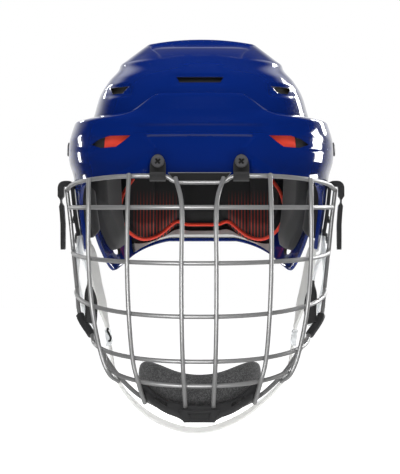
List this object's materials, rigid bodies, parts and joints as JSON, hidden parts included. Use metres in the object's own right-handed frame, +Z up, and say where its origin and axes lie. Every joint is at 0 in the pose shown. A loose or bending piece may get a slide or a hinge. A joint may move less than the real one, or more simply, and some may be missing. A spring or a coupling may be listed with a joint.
{
  "type": "ice hockey helmet with cage",
  "caption": "Ice hockey helmet: hard front and rear shells that slide for length, foam liner, ear guards, webbing chin strap, and a wire face cage with chin cup that flips up.",
  "frame": {"origin": "where the helmet rests on the head: middle of the head at the height of the brow edge", "axes": "+Z up, the face looks along -Y, +X to the right as seen from the front"},
  "size_m": [0.2238, 0.2989, 0.3113],
  "materials": {
    "shell": "glossy royal blue moulded plastic",
    "wire": "satin grey coated steel wire",
    "clip": "black moulded plastic",
    "screw": "black oxide screw",
    "liner": "dark grey foam",
    "chin_foam": "speckled dark foam",
    "red_liner": "red foam",
    "clear": "clear plastic",
    "webbing": "white woven webbing",
    "black_webbing": "black woven webbing"
  },
  "bodies": {
    "helmet": {"front_shell": "shell", "adjuster_screw_left": "screw", "adjuster_screw_right": "screw", "brow_clip_left": "clip", "brow_clip_right": "clip", "brow_clip_screw_left": "screw", "brow_clip_screw_right": "screw", "side_clip_left": "clip", "side_clip_right": "clip", "side_clip_screw_left": "screw", "side_clip_screw_right": "screw", "brow_pad": "liner", "vent_pad_left": "red_liner", "vent_pad_right": "red_liner", "temple_pad_left": "liner", "temple_pad_right": "liner", "ear_guard_left": "clear", "ear_guard_right": "clear", "ear_screw_left": "screw", "ear_screw_right": "screw", "strap_front_left": "webbing", "strap_front_right": "webbing", "strap_rear_left": "webbing", "strap_rear_right": "webbing", "strap_buckle_left": "clip", "strap_buckle_right": "clip", "chin_strap": "webbing"},
    "rear": {"rear_shell": "shell", "rear_side_pad_left": "liner", "rear_side_pad_right": "liner", "nape_pad": "liner", "nape_piping": "red_liner", "crown_pad": "liner"},
    "cage": {"cage_top_wire": "wire", "cage_bar_1": "wire", "cage_bar_2": "wire", "cage_bar_3": "wire", "cage_bar_4": "wire", "cage_bar_5": "wire", "cage_rim": "wire", "cage_upright_1_left": "wire", "cage_upright_1_right": "wire", "cage_upright_2_left": "wire", "cage_upright_2_right": "wire", "cage_upright_3_left": "wire", "cage_upright_3_right": "wire", "brow_plate": "clip", "chin_cup": "clip", "chin_pad": "chin_foam", "cage_sleeve_left": "clip", "cage_sleeve_right": "clip", "cage_strap_left": "black_webbing", "cage_strap_right": "black_webbing"}
  },
  "joints": [
    {"name": "length_adjust", "type": "slide", "parent": "helmet", "child": "rear", "axis": [0, 1, 0], "range_m": [0, 0.015]},
    {"name": "cage_flip", "type": "hinge", "parent": "helmet", "child": "cage", "pos_m": [0, -0.12145, 0.004], "axis": [-1, 0, 0], "range_deg": [0, 120]}
  ]
}
